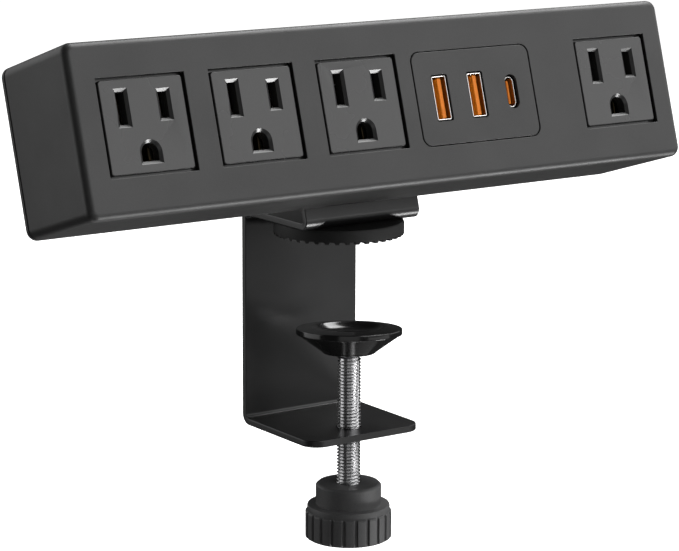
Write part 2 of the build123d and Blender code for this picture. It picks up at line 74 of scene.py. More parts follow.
OUTLET_US = (21.35, 55.6, 89.75, 180.35)
OUTLET_TOP = 10.0
OUTLET_WIDTH = 26.7
OUTLET_HEIGHT = 26.5
OUTLET_V = OUTLET_TOP + OUTLET_HEIGHT / 2
INSERT_GAP = 0.7
INSERT_RECESS = 0.35
INSERT_EDGE = 0.35
INSERT_BACK = 4.0
FLANGE_MARGIN = 1.0
SLOT_WIDTH = 4.2
SLOT_CHAMFER = 0.85
SLOT_CHAMFER_DEPTH = 0.7
BLADE_SLOTS = ((-6.35, 3.06, 10.45), (6.35, 3.9, 8.7))
GROUND_TOP = 17.02
GROUND_WIDTH = 6.8
GROUND_HEIGHT = 6.56

PANEL_LEFT = 108.1
PANEL_WIDTH = 41.75
PANEL_TOP = 9.95
PANEL_HEIGHT = 27.0
PANEL_U = PANEL_LEFT + PANEL_WIDTH / 2
PANEL_CORNER = 3.0
PANEL_GAP = 0.25
PANEL_BACK = 3.8
USB_V = PANEL_TOP + PANEL_HEIGHT / 2
USB_A_US = (PANEL_LEFT + 8.9, PANEL_LEFT + 21.3)
USB_A_SIZE = (4.95, 12.6)
USB_A_GAP = 0.35
USB_A_RECESS = 0.35
USB_A_TONGUE = (1.5, 11.4)
USB_A_TONGUE_OFFSET = 0.6
USB_C_U = PANEL_LEFT + 33.8
USB_C_SIZE = (3.2, 8.95)
USB_C_GAP = 0.45
USB_C_RECESS = 1.0
USB_C_TONGUE = (0.7, 6.7)
SHELL_THICKNESS = 0.35
BOARD_W = 13.0

STRIP_WIDTH = 40.0
SHEET = 2.0
BEND_RADIUS = 2.2
RISER_BEND_RADIUS = 1.7
BEND_STEPS = 10
RISER_LENGTH = 41.0
ARM_CORNER = 5.0
ARM_FRONT = -15.2
NUT_SKIN = 0.8
NUT_HOLE_RADIUS = 5.02
NUT_BARREL_RADIUS = 4.98
NUT_BORE_RADIUS = 3.61
SCREW_HOLE_RADIUS = 3.75
TEETH = 40
SCREW_RADIUS = 3.55
THREAD_PITCH = 1.0
THREAD_DEPTH = 0.62
PAD_LEAN = math.radians(4.3)
PAD_LEAN_AZIMUTH = math.radians(-34.6)
BALL_Z = -32.5
BALL_RADIUS = 3.2
HUB_RADIUS = 9.75
HUB_HEIGHT = 6.4
GRIP_RADIUS = 12.3
RIB_RADIUS = 12.85
RIBS = 22
RIB_DROP = 1.9
CAP_POCKET = 2.9
SCREW_SOCKET = 2.5
AXIS_RADIUS = 0.02

BOSS_VS = (6.4, HEIGHT - 6.4)
COVER_SCREW_US = (10.5, 76.0, 192.4)
BRACKET_SCREW_XS = (-12.0, 12.0)
BRACKET_SCREW_HEIGHTS = (10.0, 27.0)
INLET_U = 146.0
INLET_V = HEIGHT / 2

ROOT = "strip_and_clamp"


def body_frame():
    """The leaning body's frame: its origin is the middle of the body's lower back edge."""
    foot = Vector((BODY_CENTRE_X, BODY_FOOT_Y, BODY_FOOT_Z)) * MM
    return Matrix.Translation(foot) @ Matrix.Rotation(-LEAN, 4, "X") @ Matrix.Scale(MM, 4)


BODY = body_frame()
WORLD = Matrix.Scale(MM, 4)


def local(u, v, w):
    """The body frame's point for a place in the body."""
    return Vector((u - LENGTH / 2, w - DEPTH, HEIGHT - v))


def node_mm(node):
    """A CAD node's lowest and highest corners in millimetres."""
    low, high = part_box(node)
    return low / MM, high / MM


# ---------------------------------------------------------------- mesh helpers


def new_object(name, bm, placement):
    """A scene object from a bmesh in millimetres, put in place."""
    bmesh.ops.remove_doubles(bm, verts=bm.verts, dist=1e-5)
    bmesh.ops.recalc_face_normals(bm, faces=bm.faces)
    mesh = bpy.data.meshes.new(name)
    bm.to_mesh(mesh)
    bm.free()
    mesh.transform(placement)
    obj = bpy.data.objects.new(name, mesh)
    bpy.context.scene.collection.objects.link(obj)
    return obj


def bake(obj):
    """Turn an object's modifiers into its own mesh."""
    bpy.context.view_layer.update()
    graph = bpy.context.evaluated_depsgraph_get()
    mesh = bpy.data.meshes.new_from_object(obj.evaluated_get(graph))
    obj.modifiers.clear()
    old = obj.data
    obj.data = mesh
    bpy.data.meshes.remove(old)


def cut(obj, *cutters):
    """Take the cutters' volume out of obj."""
    for cutter in cutters:
        modifier = obj.modifiers.new("cut", "BOOLEAN")
        modifier.operation = "DIFFERENCE"
        modifier.solver = "EXACT"
        modifier.object = cutter
        bake(obj)
        bpy.data.objects.remove(cutter)


def finish_edges(obj, width=0.0, segments=3, angle=40):
    """Round the sharp edges by width and shade the rest smooth."""
    if width:
        modifier = obj.modifiers.new("round", "BEVEL")
        modifier.width = width * MM
        modifier.segments = segments
        modifier.limit_method = "ANGLE"
        modifier.angle_limit = math.radians(angle)
        modifier.use_clamp_overlap = True
        modifier.harden_normals = False
        bake(obj)
    for polygon in obj.data.polygons:
        polygon.use_smooth = True
    obj.data.set_sharp_from_angle(angle=math.radians(angle))
    modifier = obj.modifiers.new("normals", "WEIGHTED_NORMAL")
    modifier.keep_sharp = True
    modifier.weight = 100
    bake(obj)


def add_loft(bm, rings, loop=False):
    """Add a skin through rings of equally many points, capped unless it closes on itself."""
    rows = [[bm.verts.new(point) for point in ring] for ring in rings]
    count = len(rows[0])
    pairs = list(zip(rows, rows[1:]))
    if loop:
        pairs.append((rows[-1], rows[0]))
    for first, second in pairs:
        for i in range(count):
            j = (i + 1) % count
            bm.faces.new((first[i], first[j], second[j], second[i]))
    if not loop:
        bm.faces.new(rows[0])
        bm.faces.new(rows[-1])


def loft(name, rings, placement=WORLD, loop=False):
    """An object made of one loft."""
    bm = bmesh.new()
    add_loft(bm, rings, loop)
    return new_object(name, bm, placement)


def rounded_outline(width, height, radius, steps=6):
    """The points of a rounded rectangle about the origin, counter-clockwise."""
    points = []
    for corner, (side_x, side_y) in enumerate(((1, 1), (-1, 1), (-1, -1), (1, -1))):
        x = side_x * (width / 2 - radius)
        y = side_y * (height / 2 - radius)
        for step in range(steps + 1):
            angle = math.pi / 2 * (corner + step / steps)
            points.append((x + radius * math.cos(angle), y + radius * math.sin(angle)))
    return points


def ground_outline(width, height, steps=20):
    """The ground hole's outline: a half-round top on a flat foot."""
    half = width / 2
    centre_y = height / 2 - half
    points = [
        (half * math.cos(math.pi * n / steps), centre_y + half * math.sin(math.pi * n / steps))
        for n in range(steps + 1)
    ]
    return points + [(-half, -height / 2), (half, -height / 2)]


def face_ring(u, v, w, outline):
    """An outline drawn in the face's plane, at a place in the body."""
    centre = local(u, v, w)
    return [centre + Vector((x, 0, z)) for x, z in outline]


def face_prism(name, u, v, size, radius, levels, steps=6):
    """A rounded block in the body, through (w, inset) levels."""
    rings = []
    for w, inset in levels:
        corner = max(radius - inset, 0.04)
        outline = rounded_outline(size[0] - 2 * inset, size[1] - 2 * inset, corner, steps)
        rings.append(face_ring(u, v, w, outline))
    return loft(name, rings, BODY)


def tapered_cutter(u, v, outer, inner, face_w):
    """A slot's cutter: its mouth slopes in from outer to inner, then it runs straight."""
    foot_w = face_w + SLOT_CHAMFER_DEPTH
    depths = ((face_w - 1, outer), (face_w, outer), (foot_w, inner), (INSERT_BACK + 1, inner))
    return loft("cutter", [face_ring(u, v, w, outline) for w, outline in depths], BODY)


def lathe_rings(profile, steps, x=0.0, y=0.0, wobble=None):
    """Rings round the vertical line at (x, y), through (radius, z) points."""
    rings = []
    for row, (radius, z) in enumerate(profile):
        ring = []
        for n in range(steps):
            angle = 2 * math.pi * n / steps
            r, height = (radius, z) if wobble is None else wobble(row, angle, radius, z)
            ring.append(Vector((x + r * math.cos(angle), y + r * math.sin(angle), height)))
        rings.append(ring)
    return rings


def arc(centre, radius, start, end, steps):
    """Points of an arc in a profile, with angles in degrees."""
    points = []
    for n in range(steps + 1):
        angle = math.radians(start + (end - start) * n / steps)
        points.append((centre[0] + radius * math.cos(angle), centre[1] + radius * math.sin(angle)))
    return points


def register(obj, body, slot, material, *nodes):
    """Give a piece its body and material, and hide the CAD nodes it stands for; slot is not used.
    """
    obj.data.materials.clear()
    obj.data.materials.append(material)
    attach(obj, body)
    if nodes:
        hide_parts(*nodes)
    return obj


def join(name, objects):
    """Join several objects into one."""
    bm = bmesh.new()
    for obj in objects:
        bm.from_mesh(obj.data)
        bpy.data.objects.remove(obj)
    mesh = bpy.data.meshes.new(name)
    bm.to_mesh(mesh)
    bm.free()
    result = bpy.data.objects.new(name, mesh)
    bpy.context.scene.collection.objects.link(result)
    return result


# ---------------------------------------------------------------- materials


class Nodes:
    """A material's node tree, with short calls for the nodes used here."""

    def __init__(self, name):
        self.material = bpy.data.materials.new(name)
        self.material.use_nodes = True
        self.tree = self.material.node_tree
        self.shader = self.tree.nodes["Principled BSDF"]
        self.position = self.add("ShaderNodeTexCoord").outputs["Object"]

    def add(self, kind, **inputs):
        node = self.tree.nodes.new(kind)
        for key, value in inputs.items():
            node.inputs[key.replace("_", " ")].default_value = value
        return node

    def link(self, source, node, socket):
        self.tree.links.new(source, node.inputs[socket])

    def set(self, **inputs):
        for key, value in inputs.items():
            self.shader.inputs[key.replace("_", " ")].default_value = value

    def noise(self, per_mm, detail=2.0, roughness=0.5, vector=None):
        """Noise with about that many features per millimetre."""
        node = self.add("ShaderNodeTexNoise", Scale=per_mm / MM, Detail=detail, Roughness=roughness)
        self.link(vector or self.position, node, "Vector")
        return node.outputs["Fac"]

    def remap(self, value, low, high, start=0.3, end=0.7):
        node = self.add("ShaderNodeMapRange", From_Min=start, From_Max=end, To_Min=low, To_Max=high)
        self.link(value, node, "Value")
        return node.outputs["Result"]

    def blend(self, fac, first, second):
        node = self.add("ShaderNodeMix")
        node.data_type = "RGBA"
        node.inputs["A"].default_value = (*first, 1)
        node.inputs["B"].default_value = (*second, 1)
        self.link(fac, node, "Factor")
        return node.outputs["Result"]

    def bump(self, height, distance_mm, strength=1.0, normal=None):
        node = self.add("ShaderNodeBump", Strength=strength, Distance=distance_mm * MM)
        self.link(height, node, "Height")
        if normal:
            self.link(normal, node, "Normal")
        return node.outputs["Normal"]

    def done(self, colour=None, roughness=None, normal=None):
        if colour:
            self.link(colour, self.shader, "Base Color")
        if roughness:
            self.link(roughness, self.shader, "Roughness")
        if normal:
            self.link(normal, self.shader, "Normal")
        return self.material


def scaled(colour, factor):
    """A colour made lighter or darker."""
    return tuple(min(1.0, channel * factor) for channel in colour)


def moulded(name, colour, roughness, grain_per_mm=3.0, grain_mm=0.03, spread=0.12, specular=0.5):
    """Moulded plastic: fine spark-eroded grain, slight mottling and uneven gloss."""
    nodes = Nodes(name)
    grain = nodes.noise(grain_per_mm, 3.0, 0.6)
    cloud = nodes.noise(0.05, 3.0)
    dark, light = scaled(colour, 1 - spread), scaled(colour, 1 + spread)
    speck = nodes.blend(nodes.remap(grain, 0, 1), dark, light)
    rough = nodes.remap(cloud, roughness - 0.04, roughness + 0.04)
    nodes.set(Specular_IOR_Level=specular)
    return nodes.done(speck, rough, nodes.bump(grain, grain_mm, 0.6))


def metal(name, colour, roughness, per_mm=1.5, bump_mm=0.01):
    """Plain metal with faint handling marks and uneven polish."""
    nodes = Nodes(name)
    marks = nodes.noise(per_mm, 4.0, 0.6)
    tint = nodes.blend(nodes.remap(marks, 0, 1), scaled(colour, 0.88), colour)
    rough = nodes.remap(nodes.noise(0.4, 3.0), roughness * 0.75, roughness * 1.3)
    nodes.set(Metallic=1.0)
    return nodes.done(tint, rough, nodes.bump(marks, bump_mm, 0.4))


def powder_coat():
    """Satin black powder coat with a low orange-peel ripple."""
    nodes = Nodes("powder_coat")
    peel = nodes.noise(1.2, 2.0)
    fine = nodes.noise(5.0, 2.0)
    colour = nodes.blend(nodes.remap(fine, 0, 1), (0.006, 0.006, 0.0062), (0.009, 0.009, 0.0093))
    rough = nodes.remap(nodes.noise(0.06, 2.0), 0.31, 0.37)
    nodes.set(Specular_IOR_Level=0.5)
    normal = nodes.bump(peel, 0.012, 0.5)
    return nodes.done(colour, rough, nodes.bump(fine, 0.004, 0.5, normal))


def gloss_black():
    """Polished black plastic with light scuffs."""
    nodes = Nodes("gloss_black")
    scuff = nodes.noise(1.5, 5.0, 0.7)
    colour = nodes.blend(nodes.remap(scuff, 0, 1), (0.006, 0.006, 0.006), (0.010, 0.010, 0.010))
    rough = nodes.remap(scuff, 0.12, 0.20)
    nodes.set(Specular_IOR_Level=0.55)
    return nodes.done(colour, rough, nodes.bump(scuff, 0.004, 0.3))


def wound_copper():
    """Enamelled wire wound round the transformer's middle, as fine parallel ridges, with painted
    shade in the grooves between them.
    """
    nodes = Nodes("wound_copper")
    wave = nodes.add("ShaderNodeTexWave", Scale=0.5 / MM, Distortion=0.4)
    nodes.link(nodes.position, wave, "Vector")
    # Dark where the wave is low (the grooves between the turns) and copper on the ridges: the dark
    # bands are painted shade
    colour = nodes.blend(wave.outputs["Fac"], (0.05, 0.02, 0.01), (0.5, 0.2, 0.05))
    nodes.set(Metallic=0.6, Roughness=0.35)
    return nodes.done(colour, None, nodes.bump(wave.outputs["Fac"], 0.05))


def board_green():
    """Green solder mask over faint copper tracks."""
    nodes = Nodes("board_green")
    tracks = nodes.add("ShaderNodeTexBrick", Scale=0.12 / MM)
    nodes.link(nodes.position, tracks, "Vector")
    mask = nodes.blend(tracks.outputs["Fac"], (0.01, 0.10, 0.04), (0.02, 0.18, 0.07))
    nodes.set(Roughness=0.3)
    return nodes.done(mask, None, nodes.bump(tracks.outputs["Fac"], 0.02))


# ---------------------------------------------------------------- the strip's body


def edge_levels(radius, steps=8):
    """(w, inset) levels of a rounded front edge."""
    levels = []
    for n in range(steps + 1):
        angle = math.pi / 2 * n / steps
        levels.append((radius * (1 - math.cos(angle)), radius * (1 - math.sin(angle))))
    return levels


def front_housing(material):
    """The tray with the face; its windows widen behind a thin lip, so their gaps stay dark."""
    back = DEPTH - COVER_THICKNESS - PARTING_GAP
    centre = (LENGTH / 2, HEIGHT / 2)
    size = (LENGTH, HEIGHT)
    levels = edge_levels(EDGE_RADIUS, 10) + [(back, 0)]
    shell = face_prism("front_housing_shell", *centre, size, CORNER_RADIUS, levels, 8)
    hollow = face_prism("cutter", *centre, size, CORNER_RADIUS, [(WALL, WALL), (back + 1, WALL)], 8)
    cutters = [hollow]
    outlet = (OUTLET_WIDTH, OUTLET_HEIGHT)
    lip, widening = 0.3, -0.8
    flare = [(-1, 0), (lip, 0), (WALL + 0.1, widening), (WALL + 1, widening)]
    for u in OUTLET_US:
        cutters.append(face_prism("cutter", u, OUTLET_V, outlet, 0.25, flare, 2))
    panel = (PANEL_WIDTH, PANEL_HEIGHT)
    cutters.append(face_prism("cutter", PANEL_U, USB_V, panel, PANEL_CORNER, flare, 8))
    cut(shell, *cutters)
    finish_edges(shell, 0.22, 3, 50)
    return register(shell, ROOT, "housing_plastic", material, "front_housing")


def rear_cover(material):
    """The back plate, with a step that fits inside the tray and a hole for the bushing."""
    plate = DEPTH - COVER_THICKNESS
    ledge = plate - PARTING_GAP
    step = WALL + 0.15
    groove = 0.9
    levels = [(ledge - 0.9, step), (ledge, step), (ledge, groove)]
    levels += [(plate, groove), (plate, 0), (DEPTH, 0)]
    size = (LENGTH, HEIGHT)
    cover = face_prism("rear_cover_plate", LENGTH / 2, HEIGHT / 2, size, CORNER_RADIUS, levels, 8)
    bushing = lathe_rings([(5.6, -3), (5.6, 3)], 48)
    turn = Matrix.Translation(local(INLET_U, INLET_V, DEPTH)) @ Matrix.Rotation(math.pi / 2, 4, "X")
    cut(cover, loft("cutter", bushing, BODY @ turn))
    finish_edges(cover, 0.22, 3, 50)
    return register(cover, ROOT, "housing_plastic", material, "rear_cover")


def outlet_insert(number, u, material):
    """An outlet's face, with a flange behind the window and three tapered plug holes."""
    size = (OUTLET_WIDTH - 2 * INSERT_GAP, OUTLET_HEIGHT - 2 * INSERT_GAP)
    grow = -INSERT_GAP - FLANGE_MARGIN
    bevel = []
    for angle in (0, 0.52, 1.05, 1.57):
        drop = INSERT_EDGE * (1 - math.cos(angle))
        bevel.append((INSERT_RECESS + drop, INSERT_EDGE * (1 - math.sin(angle))))
    levels = bevel + [(WALL, 0), (WALL, grow), (INSERT_BACK, grow)]
    insert = face_prism(f"outlet_insert_{number}_face", u, OUTLET_V, size, 0.9, levels, 6)
    trim = 2 * SLOT_CHAMFER
    for offset, top, height in BLADE_SLOTS:
        outer = rounded_outline(SLOT_WIDTH, height, 0.04, 1)
        inner = rounded_outline(SLOT_WIDTH - trim, height - trim, 0.04, 1)
        middle = OUTLET_TOP + top + height / 2
        cut(insert, tapered_cutter(u + offset, middle, outer, inner, INSERT_RECESS))
    outer = ground_outline(GROUND_WIDTH, GROUND_HEIGHT)
    inner = ground_outline(GROUND_WIDTH - trim, GROUND_HEIGHT - trim)
    middle = OUTLET_TOP + GROUND_TOP + GROUND_HEIGHT / 2
    cut(insert, tapered_cutter(u, middle, outer, inner, INSERT_RECESS))
    finish_edges(insert, 0.06, 2, 35)
    return register(insert, ROOT, "outlet_plastic", material, f"outlet_insert_{number}")


def usb_panel(material):
    """The USB plate, flush with the face, with a flange behind its window."""
    size = (PANEL_WIDTH - 2 * PANEL_GAP, PANEL_HEIGHT - 2 * PANEL_GAP)
    grow = -PANEL_GAP - FLANGE_MARGIN
    edge = [(0, 0.3), (0.03, 0.17), (0.1, 0.06), (0.25, 0)]
    levels = edge + [(WALL, 0), (WALL, grow), (PANEL_BACK, grow)]
    panel = face_prism("usb_panel_face", PANEL_U, USB_V, size, PANEL_CORNER - PANEL_GAP, levels, 8)
    through = [(-1, 0), (PANEL_BACK + 1, 0)]
    size = [side + 2 * USB_A_GAP for side in USB_A_SIZE]
    for u in USB_A_US:
        cut(panel, face_prism("cutter", u, USB_V, size, 0.7, through))
    size = [side + 2 * USB_C_GAP for side in USB_C_SIZE]
    cut(panel, face_prism("cutter", USB_C_U, USB_V, size, size[0] / 2 - 0.01, through, 10))
    finish_edges(panel, 0.07, 2, 50)
    return register(panel, ROOT, "housing_plastic", material, "usb_panel")


def port_shell(node, u, size, radius, recess, material):
    """A drawn shell: outer wall, rounded rim, inner wall, closed at the back edge."""
    half = SHELL_THICKNESS / 2
    levels = [(BOARD_W, 0), (recess + half, 0)]
    for angle in (30, 60, 90, 120, 150):
        turn = math.radians(angle)
        levels.append((recess + half - half * math.sin(turn), half - half * math.cos(turn)))
    levels += [(recess + half, SHELL_THICKNESS), (BOARD_W, SHELL_THICKNESS)]
    rings = []
    for w, inset in levels:
        corner = max(radius - inset, 0.12)
        outline = rounded_outline(size[0] - 2 * inset, size[1] - 2 * inset, corner, 6)
        rings.append(face_ring(u, USB_V, w, outline))
    shell = loft(f"{node}_drawn", rings, BODY, loop=True)
    finish_edges(shell, 0, angle=50)
    return register(shell, ROOT, "port_metal", material, node)


def port_tongue(node, u, size, recess, radius, material):
    """A port's moulded tongue, rounded at its front."""
    levels = [(recess + radius * w, radius * inset) for w, inset in edge_levels(1.0, 4)]
    levels.append((BOARD_W - 0.6, 0))
    tongue = face_prism(f"{node}_moulded", u, USB_V, size, radius + 0.02, levels, 4)
    finish_edges(tongue, 0, angle=60)
    return register(tongue, ROOT, "orange_plastic", material, node)


def recessed_screw(name, height, radius, shank, length, cross):
    """A pan-head screw along +Z with a cross recess, standing on z = 0."""
    rim = 0.35
    profile = [(shank, -length), (shank, 0), (radius, 0), (radius, height * rim)]
    for angle in (0.25, 0.55, 0.85, 1.1, 1.3):
        crown = height * (rim + (1 - rim) * math.sin(angle))
        profile.append((radius * math.cos(angle), crown))
    profile.append((AXIS_RADIUS, height))
    head = loft(name, lathe_rings(profile, 48))
    arms = []
    reach = radius * cross
    levels = ((height - 0.55 * height, 0.35), (height + 1, 0.75))
    for turn in (0, 90):
        rings = []
        for z, scale in levels:
            outline = rounded_outline(reach * scale * 2, radius * 0.3 * scale, 0.03, 1)
            rings.append([Vector((x, y, z)) for x, y in outline])
        arms.append(loft("cutter", rings, WORLD @ Matrix.Rotation(math.radians(turn), 4, "Z")))
    cut(head, *arms)
    finish_edges(head, 0, angle=40)
    return head


def screws(node, places, head, material, slot="black_screw"):
    """Copies of one screw at several places, joined into one piece."""
    copies = []
    for number, place in enumerate(places):
        copy = bpy.data.objects.new("screw", head.data.copy())
        turn = Matrix.Rotation(math.radians(37 * number + 11), 4, "Z")
        copy.data.transform(place @ turn @ Matrix.Scale(1 / MM, 4))
        bpy.context.scene.collection.objects.link(copy)
        copies.append(copy)
    bpy.data.objects.remove(head)
    joined = join(f"{node}_set", copies)
    finish_edges(joined, 0, angle=40)
    return register(joined, ROOT, slot, material, node)


def behind_body(u, v, w):
    """A frame at a place in the body whose +Z points out of the back."""
    return BODY @ Matrix.Translation(local(u, v, w)) @ Matrix.Rotation(-math.pi / 2, 4, "X")


def inlet_bushing(material):
    """The cord's bushing: a barrel through the cover and a rounded lip behind it."""
    bore, barrel, lip, depth = 3.9, 5.5, 7.4, -7.0
    round_mm, seat = 0.9, 0.7
    turns = (0, 0.4, 0.8, 1.2, 1.57)
    profile = [(bore, depth), (barrel, depth), (barrel, 0), (lip, 0)]
    for angle in turns:
        outer = lip - round_mm + round_mm * math.cos(angle)
        profile.append((outer, seat + round_mm * math.sin(angle)))
    for angle in turns:
        inner = bore + round_mm - round_mm * math.sin(angle)
        profile.append((inner, seat + round_mm * math.cos(angle)))
    rings = lathe_rings(profile, 64)
    bushing = loft("cord_inlet_grommet", rings, behind_body(INLET_U, INLET_V, DEPTH), loop=True)
    finish_edges(bushing, 0, angle=50)
    return register(bushing, ROOT, "bushing_rubber", material, "cord_inlet_bushing")


# ---------------------------------------------------------------- the clamp


def bend_path():
    """The bracket strip's middle line in the YZ plane, with its three bends."""
    low, high = node_mm("clamp_bracket")
    disc_top = node_mm("grip_disc")[1].z
    arm_low = low.z + SHEET / 2
    arm_high = disc_top + SHEET / 2
    back = high.y - SHEET / 2
    foot = (BODY @ Vector((0, 0, 0))) / MM
    along = Vector((math.sin(LEAN), math.cos(LEAN)))
    across = Vector((math.cos(LEAN), -math.sin(LEAN)))
    base = Vector((foot.y, foot.z)) + across * SHEET / 2
    bend = base + along * ((arm_high - base.y) / along.y)
    corners = [Vector((ARM_FRONT, arm_low)), Vector((back, arm_low)), Vector((back, arm_high))]
    corners += [bend, base + along * RISER_LENGTH]
    radii = (BEND_RADIUS, BEND_RADIUS, RISER_BEND_RADIUS)
    points = [corners[0]]
    for before, corner, after, radius in zip(corners, corners[1:], corners[2:], radii):
        arrive = (corner - before).normalized()
        leave = (after - corner).normalized()
        turn = arrive.angle(leave)
        reach = radius * math.tan(turn / 2)
        side = 1 if arrive.x * leave.y - arrive.y * leave.x > 0 else -1
        start = corner - arrive * reach
        centre = start + Vector((-arrive.y, arrive.x)) * side * radius
        for n in range(BEND_STEPS + 1):
            swing = Matrix.Rotation(side * turn * n / BEND_STEPS, 2)
            points.append(centre + swing @ (start - centre))
    points.append(corners[-1])
    return points


def clamp_bracket(material):
    """The bent strip, with rounded corners at both ends and the press nut's hole."""
    points = bend_path()
    lengths = [0.0]
    for first, second in zip(points, points[1:]):
        lengths.append(lengths[-1] + (second - first).length)
    total = lengths[-1]
    ends = [ARM_CORNER * (1 - math.cos(math.radians(angle))) for angle in range(9, 91, 9)]
    stations = sorted(set(lengths + ends + [total - value for value in ends]))
    rings = []
    for station in stations:
        index = max(i for i, length in enumerate(lengths) if length <= station + 1e-9)
        index = min(index, len(points) - 2)
        span = lengths[index + 1] - lengths[index]
        point = points[index].lerp(points[index + 1], (station - lengths[index]) / span)
        at_point = abs(station - lengths[index]) < 1e-6
        before = points[max(index - 1, 0)] if at_point else points[index]
        direction = (points[index + 1] - before).normalized()
        normal = Vector((-direction.y, direction.x))
        edge = min(station, total - station, ARM_CORNER)
        half = STRIP_WIDTH / 2 - ARM_CORNER
        half += math.sqrt(max(ARM_CORNER**2 - (ARM_CORNER - edge) ** 2, 0))
        outline = rounded_outline(2 * half, SHEET, 0.3, 3)
        ring = []
        for x, n in outline:
            ring.append(Vector((x, point.x + normal.x * n, point.y + normal.y * n)))
        rings.append(ring)
    bracket = loft("clamp_bracket_strip", rings)
    arm_top = points[0].y + SHEET / 2
    screw = node_mm("press_nut")
    centre = (screw[0] + screw[1]) / 2
    step = arm_top - NUT_SKIN
    bore = [(NUT_HOLE_RADIUS, step - 4), (NUT_HOLE_RADIUS, step)]
    bore += [(SCREW_HOLE_RADIUS, step), (SCREW_HOLE_RADIUS, arm_top + 2)]
    hole = lathe_rings(bore, 64, centre.x, centre.y)
    cut(bracket, loft("cutter", hole))
    finish_edges(bracket, 0, angle=40)
    return register(bracket, ROOT, "bracket_paint", material, "clamp_bracket")


def press_nut(material):
    """The press nut: a barrel in the lower arm and a collar under it."""
    low, high = node_mm("press_nut")
    y = (low.y + high.y) / 2
    top = high.z
    collar = high.x
    seat = top + NUT_SKIN - SHEET
    bore = NUT_BORE_RADIUS
    barrel = NUT_BARREL_RADIUS
    profile = [(bore, top - 0.3), (3.9, top), (4.85, top), (barrel, top - 0.13), (barrel, seat)]
    profile += [(collar - 0.1, seat), (collar, seat - 0.1), (collar, low.z + 0.4)]
    profile += [(collar - 0.4, low.z), (4.0, low.z), (bore, low.z + 0.4)]
    nut = loft("press_nut_turned", lathe_rings(profile, 64, 0, y), loop=True)
    finish_edges(nut, 0, angle=50)
    return register(nut, ROOT, "bracket_paint", material, "press_nut")


def grip_disc(material):
    """The disc under the top arm, with a ring of short teeth on its lower rim."""
    low, high = node_mm("grip_disc")
    radius = high.x
    top = high.z
    notch = 0.6
    profile = [(AXIS_RADIUS, low.z), (13.2, low.z), (13.45, low.z), (13.5, low.z), (13.7, low.z)]
    profile += [(radius - 0.25, low.z), (radius, low.z + 0.25)]
    last_tooth = len(profile) - 1
    profile += [(radius, low.z + 1.3), (radius, top - 1.0)]
    profile += [(radius - 0.3, top - 0.3), (radius - 1.0, top), (AXIS_RADIUS, top)]

    def toothed(row, angle, r, z):
        if not last_tooth - 2 <= row <= last_tooth:
            return r, z
        phase = (angle * TEETH / (2 * math.pi)) % 1.0
        return r, z + min(max((0.30 - abs(phase - 0.5)) / 0.06, 0), 1) * notch

    disc = loft("grip_disc_moulded", lathe_rings(profile, TEETH * 16, wobble=toothed))
    finish_edges(disc, 0, angle=35)
    return register(disc, ROOT, "grip_rubber", material, "grip_disc")


def clamp_screw(material):
    """The screw with its helical thread; its foot is inside the knob."""
    low, high = node_mm("clamp_screw")
    knob_top = node_mm("knob")[1].z
    y = (low.y + high.y) / 2
    radius = SCREW_RADIUS
    top = high.z
    bottom = knob_top - 2.0
    around = 48
    per_turn = 14
    rows = int((top - bottom) / THREAD_PITCH * per_turn)
    bm = bmesh.new()
    rings = []
    for row in range(rows + 1):
        z = bottom + (top - bottom) * row / rows
        fade = min(1.0, max(0.0, (top - z) / 0.9))
        ring = []
        for n in range(around):
            angle = 2 * math.pi * n / around
            phase = ((z - top) / THREAD_PITCH - n / around) % 1.0
            wave = abs(phase - 0.5) * 2
            depth = THREAD_DEPTH * min(1.0, max(0.0, (0.93 - wave) / 0.72))
            r = radius - depth - (1 - fade) * 0.35
            ring.append(Vector((r * math.cos(angle), y + r * math.sin(angle), z)))
        rings.append(ring)
    add_loft(bm, rings)
    screw = new_object("clamp_screw_threaded", bm, WORLD)
    finish_edges(screw, 0, angle=50)
    return register(screw, "screw_and_knob", "plated_steel", material, "clamp_screw")


def pad_placement():
    """The lean of the pad on its ball."""
    y = (node_mm("swivel_stud")[0].y + node_mm("swivel_stud")[1].y) / 2
    ball = Matrix.Translation(Vector((0, y, BALL_Z)))
    turn = Matrix.Rotation(PAD_LEAN_AZIMUTH, 4, "Z")
    tilt = turn @ Matrix.Rotation(-PAD_LEAN, 4, "X") @ turn.inverted()
    return WORLD @ ball @ tilt


def pressure_pad(material):
    """The pad in its own frame, with the ball's middle as its origin."""
    base = -2.75
    top = 5.05
    rim = 15.65
    profile = [(2.95, base + 1.1), (4.4, base + 0.15), (4.6, base), (6.4, base)]
    profile += arc((6.4, base + 2.4), 2.4, -75, -38, 5)
    band = [(rim - 0.9, -2.25), (rim - 0.5, -2.0), (rim - 0.15, -1.9), (rim, -1.7)]
    band += [(rim, -0.45), (rim - 0.08, -0.22), (rim - 0.3, -0.12)]
    ring = [(11.9, 0.24), (11.5, 0.29), (11.2, 0.3), (10.9, 0.26), (10.5, 0.1), (9.9, -0.35)]
    dish = [(8.8, -1.05), (7.4, -1.6), (5.8, -1.85), (4.6, -1.9), (AXIS_RADIUS, -1.9)]
    profile += [(r, top + z) for r, z in band + ring + dish]
    socket = BALL_RADIUS + 0.08
    profile += [(AXIS_RADIUS, socket)] + arc((0, 0), socket, 85, -28, 14)
    pad = loft("pressure_pad_moulded", lathe_rings(profile, 128), pad_placement(), loop=True)
    finish_edges(pad, 0, angle=45)
    return register(pad, "jaw_pad", "gloss_pad", material, "pressure_pad")


